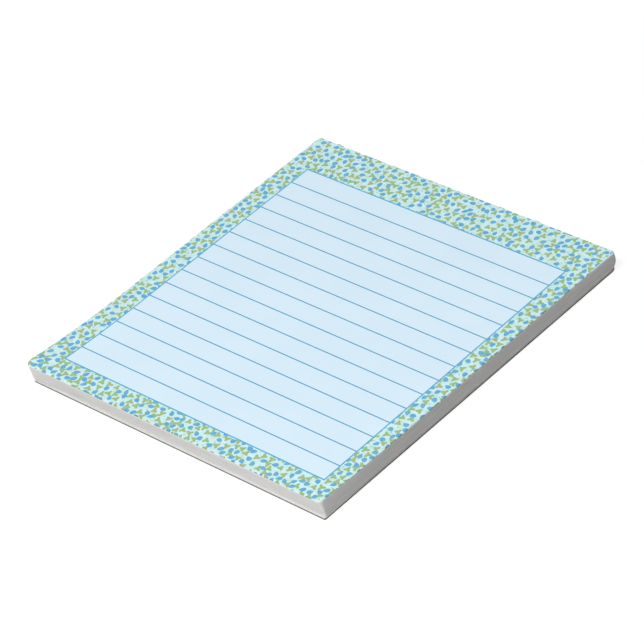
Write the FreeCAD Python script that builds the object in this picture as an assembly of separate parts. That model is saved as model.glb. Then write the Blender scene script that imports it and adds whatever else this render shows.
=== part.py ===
import FreeCAD, Part
import math
import os
import random

# A ruled writing pad: a block of leaves glued along one short edge, on a thin board.
# Lengths are in millimetres. X runs along the rules, +Y points to the glued edge, +Z is up.
# The origin is on the underside of the board, below the middle of the leaves.

os.makedirs("parts", exist_ok=True)
Vector = FreeCAD.Vector

# Sheet and stack
SHEET_WIDTH = 139.7
SHEET_LENGTH = 152.4
PAGES_HEIGHT = 6.2
BOARD_THICKNESS = 0.75

# The right side was cut out of square: it leans out by this much on its way to the glue
RIGHT_SKEW = 1.0

# Corners of the leaves, seen from above
NEAR_CORNER_TOP = 2.0
NEAR_CORNER_LOWEST = 0.4
FAR_CORNER_RADIUS = 1.8
WORN_CORNER_RADIUS = 2.0
FANNED_CORNER_TOP = 3.0
FANNED_CORNER_LOWEST = 1.3

# The top edges of the block roll down softly, on the right less, at the glued edge not at all
EDGE_ROLL = 0.8
RIGHT_ROLL_SHARE = 0.4
ROLL_STEPS = (0, 22.5, 45, 67.5, 90)

# The leaves fan out to the left at the free edge, most of all the upper ones. At the left
# side, at the frame and at the right side the fan has its own size
FAN_LENGTH = 45.0
FAN_TOP = 3.1
FAN_LOWEST = 1.0
FAN_AT_FRAME = 2.2
FAN_RIGHT_TOP = 0.85
FAN_RIGHT_LOWEST = 0.1

# The stack leans to the right on its way down: the lowest leaf is set in on the left and
# stands out on the right. Past the fanned corner it is set in from the free edge too
LEFT_INSET_LOWEST = 0.65
RIGHT_OUTSET_LOWEST = 0.25
FREE_INSET_LOWEST = 0.7
CORNER_INSET_LOWEST = 0.1
CORNER_INSET_RUN = 14.0

# The board reaches a little past the leaves at the free edge and on the right, and less far
# than the top leaf on the left
BOARD_PROUD = 0.1
BOARD_INSET_LEFT = 0.45
BOARD_CORNER_RADIUS = 0.6

# Padding glue on the bound edge: a thin film with dried lumps along its upper edge
GLUE_FILM = 0.15
LUMP_DROP = 2.2
LUMP_RISE = 0.12
LUMP_BEVEL = 0.35
# Each lump has the distance of its middle from the end of the film, its width and its depth
LUMPS_FROM_LEFT = (
    (7.6, 2.6, 0.6),
    (35.4, 2.6, 0.35),
    (47.5, 2.0, 0.15),
)
LUMPS_FROM_RIGHT = (
    (63.4, 2.2, 0.2),
    (50.0, 2.4, 0.4),
    (33.6, 3.2, 0.75),
    (11.1, 2.0, 0.15),
)

# Print on the top leaf: a framed panel with rules, inside a strewn border
INK_FILM = 0.04
FRAME_MARGIN_LEFT = 9.87
FRAME_MARGIN_RIGHT = 7.63
FRAME_MARGIN_GLUED = 17.44
FRAME_MARGIN_FREE = 9.5
FRAME_LINE_WIDTH = 0.55
RULE_WIDTH = 0.45
RULE_COUNT = 14
# The rules were printed a little nearer the free edge than equal rows would put them
RULE_SLIP = 0.5

# The strewn border has blue drops and green three-leaved sprigs
MOTIF_SPACING = 2.35
MOTIF_CLEARANCE = 0.15
MOTIF_TRIES = 40
MOTIF_SEED = 17
DROP_LENGTH = 2.4
DROP_WIDTH = 1.9
DROP_SHOULDER = 0.85
SPRIG_REACH = 1.4
SPRIG_WAIST = 0.6
SPRIG_LEAVES = 3

# Levels and edges that follow from the sizes
pages_top = BOARD_THICKNESS + PAGES_HEIGHT
left_edge = -SHEET_WIDTH / 2
right_edge = SHEET_WIDTH / 2
free_edge = -SHEET_LENGTH / 2
glued_edge = SHEET_LENGTH / 2
right_free = right_edge - RIGHT_SKEW / 2
right_glued = right_edge + RIGHT_SKEW / 2
fan_start = free_edge + FAN_LENGTH
frame_left = left_edge + FRAME_MARGIN_LEFT
frame_right = right_edge - FRAME_MARGIN_RIGHT
frame_glued = glued_edge - FRAME_MARGIN_GLUED
frame_free = free_edge + FRAME_MARGIN_FREE


def fan_shift(y, fan):
    """How far the fan pushes a point to the left: an arc that leaves the straight edge."""
    run = max(0.0, fan_start - y)
    radius = (FAN_LENGTH ** 2 + fan ** 2) / (2 * fan)
    return radius - math.sqrt(radius ** 2 - run ** 2)


def right_side(y, fan):
    """The right edge of a leaf: it leans out towards the glue, and the fan pulls it in."""
    return right_edge + RIGHT_SKEW * y / SHEET_LENGTH - fan_shift(y, fan)


def line(start, end):
    return Part.LineSegment(start, end).toShape()


def fan_arc(x, y_start, y_end, z, fan):
    """The fanned stretch of a line along the left edge, whose straight part is at x."""
    points = [
        Vector(x - fan_shift(y, fan), y, z)
        for y in (y_start, (y_start + y_end) / 2, y_end)
    ]
    return Part.Arc(*points).toShape()


def quarter_arc(centre, radius, start_degrees):
    """A quarter of a circle, anticlockwise from an angle that is counted from +X."""
    points = []
    for degrees in (start_degrees, start_degrees + 45, start_degrees + 90):
        angle = math.radians(degrees)
        points.append(centre + Vector(math.cos(angle), math.sin(angle), 0) * radius)
    return Part.Arc(*points).toShape()


def corner_arc(before, corner, after, radius):
    """The arc that rounds a corner between two straight runs."""
    run_in = (corner - before).normalize()
    run_out = (after - corner).normalize()
    half_turn = run_in.getAngle(run_out) / 2
    reach = radius * math.tan(half_turn)
    inward = (run_out - run_in).normalize()
    middle = corner + inward * (radius / math.cos(half_turn) - radius)
    return Part.Arc(corner - run_in * reach, middle, corner + run_out * reach).toShape()


def polygon_solid(points, z, height):
    """An upright prism on a polygon of (x, y) points."""
    corners = [Vector(x, y, z) for x, y in points]
    outline = Part.makePolygon(corners + corners[:1])
    return Part.Face(outline).extrude(Vector(0, 0, height))


def export(shape, node):
    shape.exportStep(f"parts/{node}.step")


def between(top, lowest, depth):
    """A size that changes evenly from the top leaf, at depth 0, to the lowest, at depth 1."""
    return top + (lowest - top) * depth


def leaf_outline(depth, roll):
    """The outline of one leaf, anticlockwise from the far left corner, set in by the roll."""
    z = between(pages_top, BOARD_THICKNESS, depth)
    left = left_edge + between(0, LEFT_INSET_LOWEST, depth) + roll
    corner_free = free_edge + between(0, CORNER_INSET_LOWEST, depth) + roll
    free = free_edge + between(0, FREE_INSET_LOWEST, depth) + roll
    fan = between(FAN_TOP, FAN_LOWEST, depth)
    radius = between(FANNED_CORNER_TOP, FANNED_CORNER_LOWEST, depth) - roll
    fan_end = corner_free + radius
    fanned_x = left - fan_shift(fan_end, fan) + radius
    right_roll = roll * RIGHT_ROLL_SHARE
    outset = between(0, RIGHT_OUTSET_LOWEST, depth) - right_roll
    far_left = Vector(left, glued_edge, z)
    far_right = Vector(right_glued + outset, glued_edge, z)
    near_left = Vector(fanned_x, corner_free, z)
    near_bend = Vector(left_edge + CORNER_INSET_RUN, free, z)
    right_fan = between(FAN_RIGHT_TOP, FAN_RIGHT_LOWEST, depth)
    near_end, after_corner, right_middle, right_straight = [
        Vector(right_side(y, right_fan) + outset, y, z)
        for y in (free, free + NEAR_CORNER_TOP, (free + fan_start) / 2, fan_start)
    ]
    near_radius = between(NEAR_CORNER_TOP, NEAR_CORNER_LOWEST, depth) - roll
    near_right = corner_arc(near_bend, near_end, after_corner, near_radius)
    right_arc = Part.Arc(near_right.lastVertex().Point, right_middle, right_straight).toShape()
    far_corner = corner_arc(right_straight, far_right, far_left, FAR_CORNER_RADIUS - right_roll)
    edges = [
        line(far_left, Vector(left, fan_start, z)),
        fan_arc(left, fan_start, fan_end, z, fan),
        quarter_arc(Vector(fanned_x, fan_end, z), radius, 180),
        line(near_left, near_bend),
        line(near_bend, near_right.firstVertex().Point),
        near_right,
        right_arc,
        line(right_straight, far_corner.firstVertex().Point),
        far_corner,
        line(far_corner.lastVertex().Point, far_left),
    ]
    return Part.Wire(edges)


def worn_corner_cutter():
    """What the worn far left corner has lost: a square post less a round one."""
    reach = LEFT_INSET_LOWEST + WORN_CORNER_RADIUS
    centre = Vector(left_edge + WORN_CORNER_RADIUS, glued_edge - WORN_CORNER_RADIUS, 0)
    post = Part.makeBox(reach, reach, pages_top * 2, centre - Vector(reach, 0, 0))
    round_post = Part.makeCylinder(WORN_CORNER_RADIUS, pages_top * 2, centre)
    return post.cut(round_post)


def rolled_outline(degrees):
    """The outline at one angle of the rolled edge: 0 where it starts, 90 on the flat top."""
    angle = math.radians(degrees)
    depth = EDGE_ROLL * (1 - math.sin(angle)) / PAGES_HEIGHT
    return leaf_outline(depth, EDGE_ROLL * (1 - math.cos(angle)))


def page_block():
    """The glued stack of leaves as one solid, with its fanned corner and rolled edges."""
    stack = Part.makeLoft([leaf_outline(1, 0), rolled_outline(0)], True, True)
    rolled = Part.makeLoft([rolled_outline(degrees) for degrees in ROLL_STEPS], True, True)
    return stack.fuse(rolled).cut(worn_corner_cutter())


def rounded(solid, radius, corners):
    """A prism with its upright edges rounded at the (x, y) corners."""
    edges = []
    for x, y in corners:
        for edge in solid.Edges:
            middle = edge.CenterOfMass
            if math.isclose(middle.x, x) and math.isclose(middle.y, y):
                edges.append(edge)
    return solid.makeFillet(radius, edges)


def backing_board():
    """The stiff board under the leaves, with rounded corners like theirs."""
    far_left = (left_edge + BOARD_INSET_LEFT, glued_edge)
    near_left = (left_edge + BOARD_INSET_LEFT, free_edge - BOARD_PROUD)
    proud_right = RIGHT_OUTSET_LOWEST + BOARD_PROUD
    near_right = (right_free + proud_right, free_edge - BOARD_PROUD)
    far_right = (right_glued + proud_right, glued_edge)
    board = polygon_solid([far_left, near_left, near_right, far_right], 0, BOARD_THICKNESS)
    board = rounded(board, BOARD_CORNER_RADIUS, [near_left, near_right])
    return rounded(board, FAR_CORNER_RADIUS, [far_right])


def glue_lump(middle, width, depth):
    """One dried drop of glue, which stands out of the film and just over the leaves."""
    half = width / 2
    back = glued_edge + GLUE_FILM
    outline = [
        (middle - half, glued_edge),
        (middle + half, glued_edge),
        (middle + half, back),
        (middle + half * (1 - LUMP_BEVEL), back + depth),
        (middle - half * (1 - LUMP_BEVEL), back + depth),
        (middle - half, back),
    ]
    return polygon_solid(outline, pages_top - LUMP_DROP, LUMP_DROP + LUMP_RISE)


def glue_strip():
    """The film of padding glue on the bound edge of the leaves and the board."""
    film_left = left_edge + WORN_CORNER_RADIUS
    film_right = right_glued - FAR_CORNER_RADIUS
    film = Part.makeBox(
        film_right - film_left, GLUE_FILM, pages_top, Vector(film_left, glued_edge, 0)
    )
    for place, width, depth in LUMPS_FROM_LEFT:
        film = film.fuse(glue_lump(film_left + place, width, depth))
    for place, width, depth in LUMPS_FROM_RIGHT:
        film = film.fuse(glue_lump(film_right - place, width, depth))
    return film.removeSplitter()


def frame_face(grow, z):
    """The face inside the frame line's middle, grown all round by an amount."""
    left = frame_left - grow
    right = frame_right + grow
    free = frame_free - grow
    glued = frame_glued + grow
    near_left = Vector(left - fan_shift(free, FAN_AT_FRAME), free, z)
    edges = [
        line(Vector(right, glued, z), Vector(left, glued, z)),
        line(Vector(left, glued, z), Vector(left, fan_start, z)),
        fan_arc(left, fan_start, free, z, FAN_AT_FRAME),
        line(near_left, Vector(right, free, z)),
        line(Vector(right, free, z), Vector(right, glued, z)),
    ]
    return Part.Face(Part.Wire(edges))


def writing_panel():
    """The pale field of print that the rules are on."""
    return frame_face(-FRAME_LINE_WIDTH / 2, pages_top).extrude(Vector(0, 0, INK_FILM))


def frame_line():
    """The line of print round the panel."""
    outer = frame_face(FRAME_LINE_WIDTH / 2, pages_top)
    inner = frame_face(-FRAME_LINE_WIDTH / 2, pages_top)
    return outer.cut(inner).extrude(Vector(0, 0, INK_FILM))


def rule_lines():
    """The writing rules, which share the panel out into rows."""
    row = (frame_glued - frame_free) / (RULE_COUNT + 1)
    z = pages_top + INK_FILM
    right = frame_right - FRAME_LINE_WIDTH / 2
    rules = []
    for number in range(1, RULE_COUNT + 1):
        middle = frame_glued - RULE_SLIP - number * row
        low = middle - RULE_WIDTH / 2
        high = middle + RULE_WIDTH / 2
        left = frame_left + FRAME_LINE_WIDTH / 2 - fan_shift(middle, FAN_AT_FRAME)
        outline = [(left, low), (right, low), (right, high), (left, high)]
        rules.append(polygon_solid(outline, z, INK_FILM))
    return Part.makeCompound(rules)


def drop_outline():
    """A blue drop about its middle: a tip, two shoulders and a blunt foot."""
    foot = -DROP_LENGTH / 2
    shoulder = foot + DROP_SHOULDER
    half = DROP_WIDTH / 2
    return [(0, DROP_LENGTH / 2), (-half, shoulder), (0, foot), (half, shoulder)]


def sprig_outline():
    """A green sprig about its middle: pointed leaves that meet at a waist."""
    points = []
    for number in range(2 * SPRIG_LEAVES):
        angle = math.pi * number / SPRIG_LEAVES
        reach = SPRIG_REACH if number % 2 == 0 else SPRIG_WAIST
        points.append((reach * math.cos(angle), reach * math.sin(angle)))
    return points


def placed(outline, x, y, turn):
    """An outline turned by an angle and moved to a place."""
    cosine = math.cos(turn)
    sine = math.sin(turn)
    return [(x + u * cosine - v * sine, y + u * sine + v * cosine) for u, v in outline]


def along_outline(outline):
    """Points along an outline, closer together than twice the clearance."""
    points = []
    for (x0, y0), (x1, y1) in zip(outline, outline[1:] + outline[:1]):
        steps = math.ceil(math.hypot(x1 - x0, y1 - y0) / (1.8 * MOTIF_CLEARANCE))
        for step in range(steps):
            share = step / steps
            points.append((x0 + (x1 - x0) * share, y0 + (y1 - y0) * share))
    return points


def past_corner(x, y, corner_x, corner_y, radius):
    """Whether a point lies outside the flat at a corner of the leaf that has this radius."""
    centre_x = corner_x - math.copysign(radius, corner_x)
    centre_y = corner_y - math.copysign(radius, corner_y)
    in_corner = (x - centre_x) * corner_x > 0 and (y - centre_y) * corner_y > 0
    flat_radius = radius - EDGE_ROLL - MOTIF_CLEARANCE
    return in_corner and math.hypot(x - centre_x, y - centre_y) > flat_radius


def in_border(x, y):
    """Whether a point is on the flat of the leaf and clear of the frame line."""
    left = left_edge - fan_shift(y, FAN_TOP)
    right = right_side(y, FAN_RIGHT_TOP)
    rim = EDGE_ROLL + MOTIF_CLEARANCE
    line_half = FRAME_LINE_WIDTH / 2 + MOTIF_CLEARANCE
    on_leaf = left + rim < x < right - rim and free_edge + rim < y < glued_edge - rim
    in_frame = (
        frame_left - fan_shift(y, FAN_AT_FRAME) - line_half < x < frame_right + line_half
        and frame_free - line_half < y < frame_glued + line_half
    )
    corners = (
        (left, free_edge, FANNED_CORNER_TOP),
        (right, free_edge, NEAR_CORNER_TOP),
        (right_glued, glued_edge, FAR_CORNER_RADIUS),
        (left_edge, glued_edge, WORN_CORNER_RADIUS),
    )
    cut_off = any(past_corner(x, y, *corner) for corner in corners)
    return on_leaf and not in_frame and not cut_off


def apart(points, others):
    """Whether two outlines keep their clearance."""
    return all(
        math.hypot(x0 - x1, y0 - y1) > MOTIF_CLEARANCE for x0, y0 in points for x1, y1 in others
    )


def strewn_motifs():
    """Drops and sprigs at random places that keep their spacing and clearance, well mixed."""
    chance = random.Random(MOTIF_SEED)
    outlines = [drop_outline(), sprig_outline()]
    cells = SHEET_WIDTH * SHEET_LENGTH / MOTIF_SPACING ** 2
    reach = 2 * max(SPRIG_REACH, DROP_LENGTH / 2) + MOTIF_CLEARANCE
    kept = []
    for _ in range(int(MOTIF_TRIES * cells)):
        x = chance.uniform(left_edge - FAN_TOP, right_edge)
        y = chance.uniform(free_edge, glued_edge)
        turn = chance.uniform(0, 2 * math.pi)
        if not in_border(x, y):
            continue
        near = [place for place in kept if math.hypot(place[0] - x, place[1] - y) < reach]
        if any(math.hypot(place[0] - x, place[1] - y) < MOTIF_SPACING for place in near):
            continue
        sprigs_near = sum(place[2] for place in near)
        drops_near = len(near) - sprigs_near
        in_turn = len(kept) % 2
        kind = in_turn if drops_near == sprigs_near else int(drops_near > sprigs_near)
        outline = placed(outlines[kind], x, y, turn)
        points = along_outline(outline)
        if all(in_border(*point) for point in points) and all(
            apart(points, place[3]) for place in near
        ):
            kept.append((x, y, kind, points))
            yield kind, outline


def border_motifs():
    """The solids of the drops and of the sprigs, as two groups."""
    groups = ([], [])
    for kind, outline in strewn_motifs():
        groups[kind].append(polygon_solid(outline, pages_top, INK_FILM))
    return Part.makeCompound(groups[0]), Part.makeCompound(groups[1])


export(page_block(), "page_block")
export(backing_board(), "backing_board")
export(glue_strip(), "glue_strip")
export(writing_panel(), "writing_panel")
export(frame_line(), "frame_line")
export(rule_lines(), "rule_lines")
drops, sprigs = border_motifs()
export(drops, "border_drops")
export(sprigs, "border_sprigs")
print("drops", len(drops.Solids), "sprigs", len(sprigs.Solids))
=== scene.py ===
import math
import random

import bmesh
import bpy
from mathutils import Matrix, Vector, noise


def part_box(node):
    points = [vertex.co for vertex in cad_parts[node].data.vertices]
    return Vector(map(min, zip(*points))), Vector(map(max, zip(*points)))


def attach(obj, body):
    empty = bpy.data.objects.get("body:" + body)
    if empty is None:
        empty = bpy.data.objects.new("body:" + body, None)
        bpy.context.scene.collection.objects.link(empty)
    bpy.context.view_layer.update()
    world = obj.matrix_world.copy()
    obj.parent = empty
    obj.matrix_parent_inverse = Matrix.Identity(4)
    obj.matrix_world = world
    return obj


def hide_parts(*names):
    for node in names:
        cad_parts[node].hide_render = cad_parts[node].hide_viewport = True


# A ruled writing pad: leaves glued along one short edge on a thin board, with a framed ruled
# panel printed inside a strewn border. Shapes are worked out in millimetres and made in
# metres. X runs along the rules, +Y points to the glued edge, +Z is up.

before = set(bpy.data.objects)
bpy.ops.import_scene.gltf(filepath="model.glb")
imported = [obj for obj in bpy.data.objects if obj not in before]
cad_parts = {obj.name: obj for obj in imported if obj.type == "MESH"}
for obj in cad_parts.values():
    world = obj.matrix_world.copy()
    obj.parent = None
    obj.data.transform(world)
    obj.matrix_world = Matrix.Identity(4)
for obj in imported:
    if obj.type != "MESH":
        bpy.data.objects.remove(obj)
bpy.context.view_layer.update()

MM = 0.001
TURN = 2 * math.pi

# Levels and edges that the solids give, in millimetres
_, pages_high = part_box("page_block")
board_low, board_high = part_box("backing_board")
glue_low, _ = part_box("glue_strip")
pages_top = pages_high.z / MM
board_top = board_high.z / MM
glued_edge = glue_low.y / MM
board_left = board_low.x / MM
board_free = board_low.y / MM

# Sizes that the boxes of the solids don't tell, as on the solids
SHEET_WIDTH = 139.7
RIGHT_SKEW = 1.0
NEAR_CORNER_TOP = 2.0
NEAR_CORNER_LOWEST = 0.4
FAR_CORNER_RADIUS = 1.8
WORN_CORNER_RADIUS = 2.0
FANNED_CORNER_TOP = 3.0
FANNED_CORNER_LOWEST = 1.3
EDGE_ROLL = 0.8
RIGHT_ROLL_SHARE = 0.4
FAN_LENGTH = 45.0
FAN_TOP = 3.1
FAN_LOWEST = 1.0
FAN_AT_FRAME = 2.2
FAN_RIGHT_TOP = 0.85
FAN_RIGHT_LOWEST = 0.1
LEFT_INSET_LOWEST = 0.65
RIGHT_OUTSET_LOWEST = 0.25
FREE_INSET_LOWEST = 0.7
CORNER_INSET_LOWEST = 0.1
CORNER_INSET_RUN = 14.0
BOARD_CORNER_RADIUS = 0.6
BOARD_PROUD = 0.1
GLUE_FILM = 0.15
FRAME_MARGIN_LEFT = 9.87
FRAME_MARGIN_RIGHT = 7.63
FRAME_MARGIN_GLUED = 17.44
FRAME_MARGIN_FREE = 9.5
FRAME_LINE_WIDTH = 0.55
RULE_WIDTH = 0.45
RULE_COUNT = 14
RULE_SLIP = 0.5

pages_height = pages_top - board_top
free_edge = -glued_edge
sheet_length = glued_edge - free_edge
left_edge = -SHEET_WIDTH / 2
right_edge = SHEET_WIDTH / 2
right_free = right_edge - RIGHT_SKEW / 2
right_glued = right_edge + RIGHT_SKEW / 2
fan_start = free_edge + FAN_LENGTH
frame_left = left_edge + FRAME_MARGIN_LEFT
frame_right = right_edge - FRAME_MARGIN_RIGHT
frame_glued = glued_edge - FRAME_MARGIN_GLUED
frame_free = free_edge + FRAME_MARGIN_FREE


# Helpers for numbers and points


def between(first, last, share):
    return first + (last - first) * share


def clamp(value, low, high):
    return max(low, min(high, value))


def steps(first, last, count):
    """Even steps from the first value on, without the last."""
    return [between(first, last, number / count) for number in range(count)]


def arc(centre_x, centre_y, radius, first_degrees, last_degrees, count):
    """Points along an arc, without its last one."""
    points = []
    for degrees in steps(first_degrees, last_degrees, count):
        angle = math.radians(degrees)
        points.append((centre_x + radius * math.cos(angle), centre_y + radius * math.sin(angle)))
    return points


def fan_shift(y, fan):
    """How far the fan pushes a point to the left: an arc that leaves the straight edge."""
    if fan <= 0:
        return 0.0
    run = max(0.0, fan_start - y)
    radius = (FAN_LENGTH ** 2 + fan ** 2) / (2 * fan)
    return radius - math.sqrt(radius ** 2 - run ** 2)


def right_at(y, fan=0.0):
    """The right edge of a leaf: it leans out towards the glue, and the fan pulls it in."""
    return right_edge + RIGHT_SKEW * y / sheet_length - fan_shift(y, fan)


def smooth_noise(x, y, z):
    """A soft random value from -1 to 1 that depends only on the place."""
    return clamp(2 * noise.noise(Vector((x, y, z))), -1.0, 1.0)


def across(x, place, width):
    """How far x is from the middle of a dent or lump, in halves of its width."""
    return (x - left_edge - place) / (width / 2)


def free_of_glue(y):
    """From 0 at the glued edge, where nothing can slip or fray, to 1 at GLUE_HOLD from it."""
    return clamp((glued_edge - y) / GLUE_HOLD, 0.0, 1.0)


# Helpers for objects

# Edges sharper than this many degrees are shaded crisp
CRISP_DEGREES = 35
SOFT_CRISP_DEGREES = 60


def add_object(name, bm, materials, crisp_degrees=CRISP_DEGREES):
    """Turns a mesh in millimetres into a piece of the pad, with its materials."""
    bmesh.ops.scale(bm, vec=(MM, MM, MM), verts=bm.verts)
    mesh = bpy.data.meshes.new(name)
    bm.to_mesh(mesh)
    bm.free()
    for material in materials:
        mesh.materials.append(material)
    mesh.shade_smooth()
    mesh.set_sharp_from_angle(angle=math.radians(crisp_degrees))
    piece = bpy.data.objects.new(name, mesh)
    bpy.context.scene.collection.objects.link(piece)
    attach(piece, "root")
    return piece


def add_quads(bm, lower, upper):
    """Quads between two open rows of vertices."""
    for number in range(len(lower) - 1):
        following = number + 1
        bm.faces.new((lower[number], lower[following], upper[following], upper[number]))


def bridge(bm, lower, upper, material_index):
    """Quads between two closed rings of vertices, counted anticlockwise from above."""
    for number in range(len(lower)):
        following = (number + 1) % len(lower)
        face = bm.faces.new((lower[number], lower[following], upper[following], upper[number]))
        face.material_index = material_index


def ring_of(bm, points, z):
    """A vertex at a level for each point."""
    return [bm.verts.new((x, y, z)) for x, y in points]


# Materials

WHITE = (1, 1, 1)


class Shader:
    """A node material with one Principled shader."""

    def __init__(self, name, roughness, specular):
        self.material = bpy.data.materials.new(name)
        self.material.use_nodes = True
        self.tree = self.material.node_tree
        self.principled = self.tree.nodes["Principled BSDF"]
        self.principled.inputs["Roughness"].default_value = roughness
        self.principled.inputs["Specular IOR Level"].default_value = specular

    def node(self, kind, **settings):
        made = self.tree.nodes.new(kind)
        for key, value in settings.items():
            setattr(made, key, value)
        return made

    def link(self, source, target):
        self.tree.links.new(source, target)

    def noise(self, scale, detail=2.0, stretch=(1, 1, 1)):
        """The value of a noise in object space; scale counts its spots in one metre."""
        place = self.node("ShaderNodeTexCoord")
        mapping = self.node("ShaderNodeMapping")
        mapping.inputs["Scale"].default_value = stretch
        texture = self.node("ShaderNodeTexNoise")
        texture.inputs["Scale"].default_value = scale
        texture.inputs["Detail"].default_value = detail
        self.link(place.outputs["Object"], mapping.inputs["Vector"])
        self.link(mapping.outputs["Vector"], texture.inputs["Vector"])
        return texture.outputs["Fac"]

    def upward(self):
        """How far the surface faces up: 1 where it lies flat."""
        geometry = self.node("ShaderNodeNewGeometry")
        parts = self.node("ShaderNodeSeparateXYZ")
        self.link(geometry.outputs["Normal"], parts.inputs["Vector"])
        return parts.outputs["Z"]

    def ramp(self, value, low, high, colour_low, colour_high):
        """Two colours that blend as the value goes from low to high."""
        ramp = self.node("ShaderNodeValToRGB")
        first, last = ramp.color_ramp.elements
        first.position = low
        last.position = high
        first.color = (*colour_low, 1)
        last.color = (*colour_high, 1)
        self.link(value, ramp.inputs["Fac"])
        return ramp.outputs["Color"]

    def blend(self, share, first, second, kind="MIX"):
        """Two colours blended by a share; each of the three is a value or a socket."""
        mix = self.node("ShaderNodeMix", data_type="RGBA", blend_type=kind)
        for number, value in ((0, share), (6, first), (7, second)):
            if isinstance(value, bpy.types.NodeSocket):
                self.link(value, mix.inputs[number])
            else:
                mix.inputs[number].default_value = value
        return mix.outputs[2]

    def darkened(self, colour, factor):
        """A colour multiplied by another one."""
        return self.blend(1.0, colour, factor, "MULTIPLY")

    def math(self, operation, first, second):
        """The result of an operation on a socket and a second socket or value."""
        node = self.node("ShaderNodeMath", operation=operation)
        self.link(first, node.inputs[0])
        if isinstance(second, bpy.types.NodeSocket):
            self.link(second, node.inputs[1])
        else:
            node.inputs[1].default_value = second
        return node.outputs[0]

    def colour(self, source):
        """Gives the surface its colour."""
        self.link(source, self.principled.inputs["Base Color"])

    def bump(self, height, strength, distance):
        """Gives the surface small bumps, up to this distance in metres."""
        node = self.node("ShaderNodeBump")
        node.inputs["Strength"].default_value = strength
        node.inputs["Distance"].default_value = distance
        self.link(height, node.inputs["Height"])
        self.link(node.outputs["Normal"], self.principled.inputs["Normal"])


def linear(red, green, blue):
    """A colour from its usual 0 to 255 steps to the linear values that shaders use."""

    def one(step):
        value = step / 255
        return value / 12.92 if value <= 0.04045 else ((value + 0.055) / 1.055) ** 2.4

    return one(red), one(green), one(blue)


def shade(colour, factor):
    """A lighter or darker colour of the same kind."""
    return tuple(clamp(part * factor, 0.0, 1.0) for part in colour)


def ink_material(name, colour, second_colour, spots, fibre=0.05, painted_bend_shade=1.0):
    """Matt ink on paper: two near colours in soft spots, with the paper's fibre showing.

    Where the leaf bends down at its edges the ink is darkened by the given factor, as painted
    shade.
    """
    shader = Shader(name, roughness=0.72, specular=0.18)
    body = shader.ramp(shader.noise(spots, detail=3.0), 0.38, 0.62, colour, second_colour)
    grain = shader.noise(5200.0, detail=3.0)
    speckle = shader.ramp(grain, 0.3, 0.7, shade(WHITE, 1 - fibre), WHITE)
    ink = shader.darkened(body, speckle)
    # Painted shade: the ink darkens as its surface turns down from level at the rolled edges,
    # where the light falls off.
    if painted_bend_shade < 1:
        edge = shader.ramp(shader.upward(), 0.8, 0.99, shade(WHITE, painted_bend_shade), WHITE)
        ink = shader.darkened(ink, edge)
    shader.colour(ink)
    shader.bump(grain, strength=0.12, distance=0.00003)
    return shader.material


def leaf_edge_material():
    """The cut edges of the leaves: white paper in fine level streaks, with faint bundles."""
    shader = Shader("leaf_edges", roughness=0.85, specular=0.1)
    fine = shader.noise(1.0, detail=2.0, stretch=(90, 90, 9000))
    bundles = shader.noise(1.0, detail=3.0, stretch=(16, 16, 1300))
    fibres = shader.noise(1.0, detail=3.0, stretch=(2600, 2600, 9000))
    streaks = shader.ramp(fine, 0.3, 0.7, (0.77, 0.765, 0.755), (0.87, 0.865, 0.855))
    tone = shader.ramp(bundles, 0.34, 0.66, (0.93, 0.93, 0.94), (1, 1, 0.99))
    shader.colour(shader.darkened(streaks, tone))
    shader.bump(fibres, strength=0.35, distance=0.00005)
    return shader.material


def board_core_material():
    """The cut edge of grey board, with flecks of recycled fibre."""
    shader = Shader("board_core", roughness=0.9, specular=0.08)
    flecks = shader.noise(4200.0, detail=4.0)
    patches = shader.noise(420.0, detail=2.0)
    body = shader.ramp(flecks, 0.3, 0.7, (0.17, 0.166, 0.16), (0.32, 0.315, 0.305))
    tone = shader.ramp(patches, 0.3, 0.7, (0.88, 0.88, 0.88), WHITE)
    shader.colour(shader.darkened(body, tone))
    shader.bump(flecks, strength=0.6, distance=0.00008)
    return shader.material


def board_liner_material():
    """The pale lining paper on both faces of the board."""
    shader = Shader("board_liner", roughness=0.75, specular=0.15)
    patches = shader.noise(1500.0, detail=4.0)
    fibres = shader.noise(3000.0, detail=3.0)
    shader.colour(shader.ramp(patches, 0.3, 0.7, (0.62, 0.61, 0.59), (0.73, 0.72, 0.71)))
    shader.bump(fibres, strength=0.3, distance=0.00004)
    return shader.material


def glue_material(name, thin_colour, thick_colour):
    """Dried padding compound: a film with a soft shine that is uneven in its colour."""
    shader = Shader(name, roughness=0.38, specular=0.4)
    patches = shader.noise(150.0, detail=3.0)
    ripples = shader.noise(900.0, detail=3.0)
    shader.colour(shader.ramp(patches, 0.42, 0.6, thin_colour, thick_colour))
    shader.bump(ripples, strength=0.4, distance=0.00015)
    return shader.material


# Print colours
GROUND = linear(214, 243, 250)
GROUND_DEEP = linear(202, 235, 227)
PANEL = linear(219, 240, 253)
PANEL_DEEP = linear(217, 238, 252)
FRAME_BLUE = linear(98, 184, 226)
RULE_BLUE = linear(79, 164, 201)
DROP_BLUE = linear(98, 176, 225)
DROP_DEEP = linear(117, 186, 214)
SPRIG_GREEN = linear(151, 199, 131)
SPRIG_OLIVE = linear(174, 192, 145)
BUD_TEAL = linear(158, 208, 214)
BUD_DEEP = linear(176, 214, 196)
STEM_GREY = linear(178, 206, 190)
STEM_WARM = linear(198, 206, 190)

# A line's second tone as a factor of its first, and each ink's spots of tone in one metre
LINE_SHADE = 0.92
PANEL_SPOTS = 60.0
LINE_SPOTS = 300.0
BORDER_SPOTS = 420.0
DROP_SPOTS = 520.0

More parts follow.
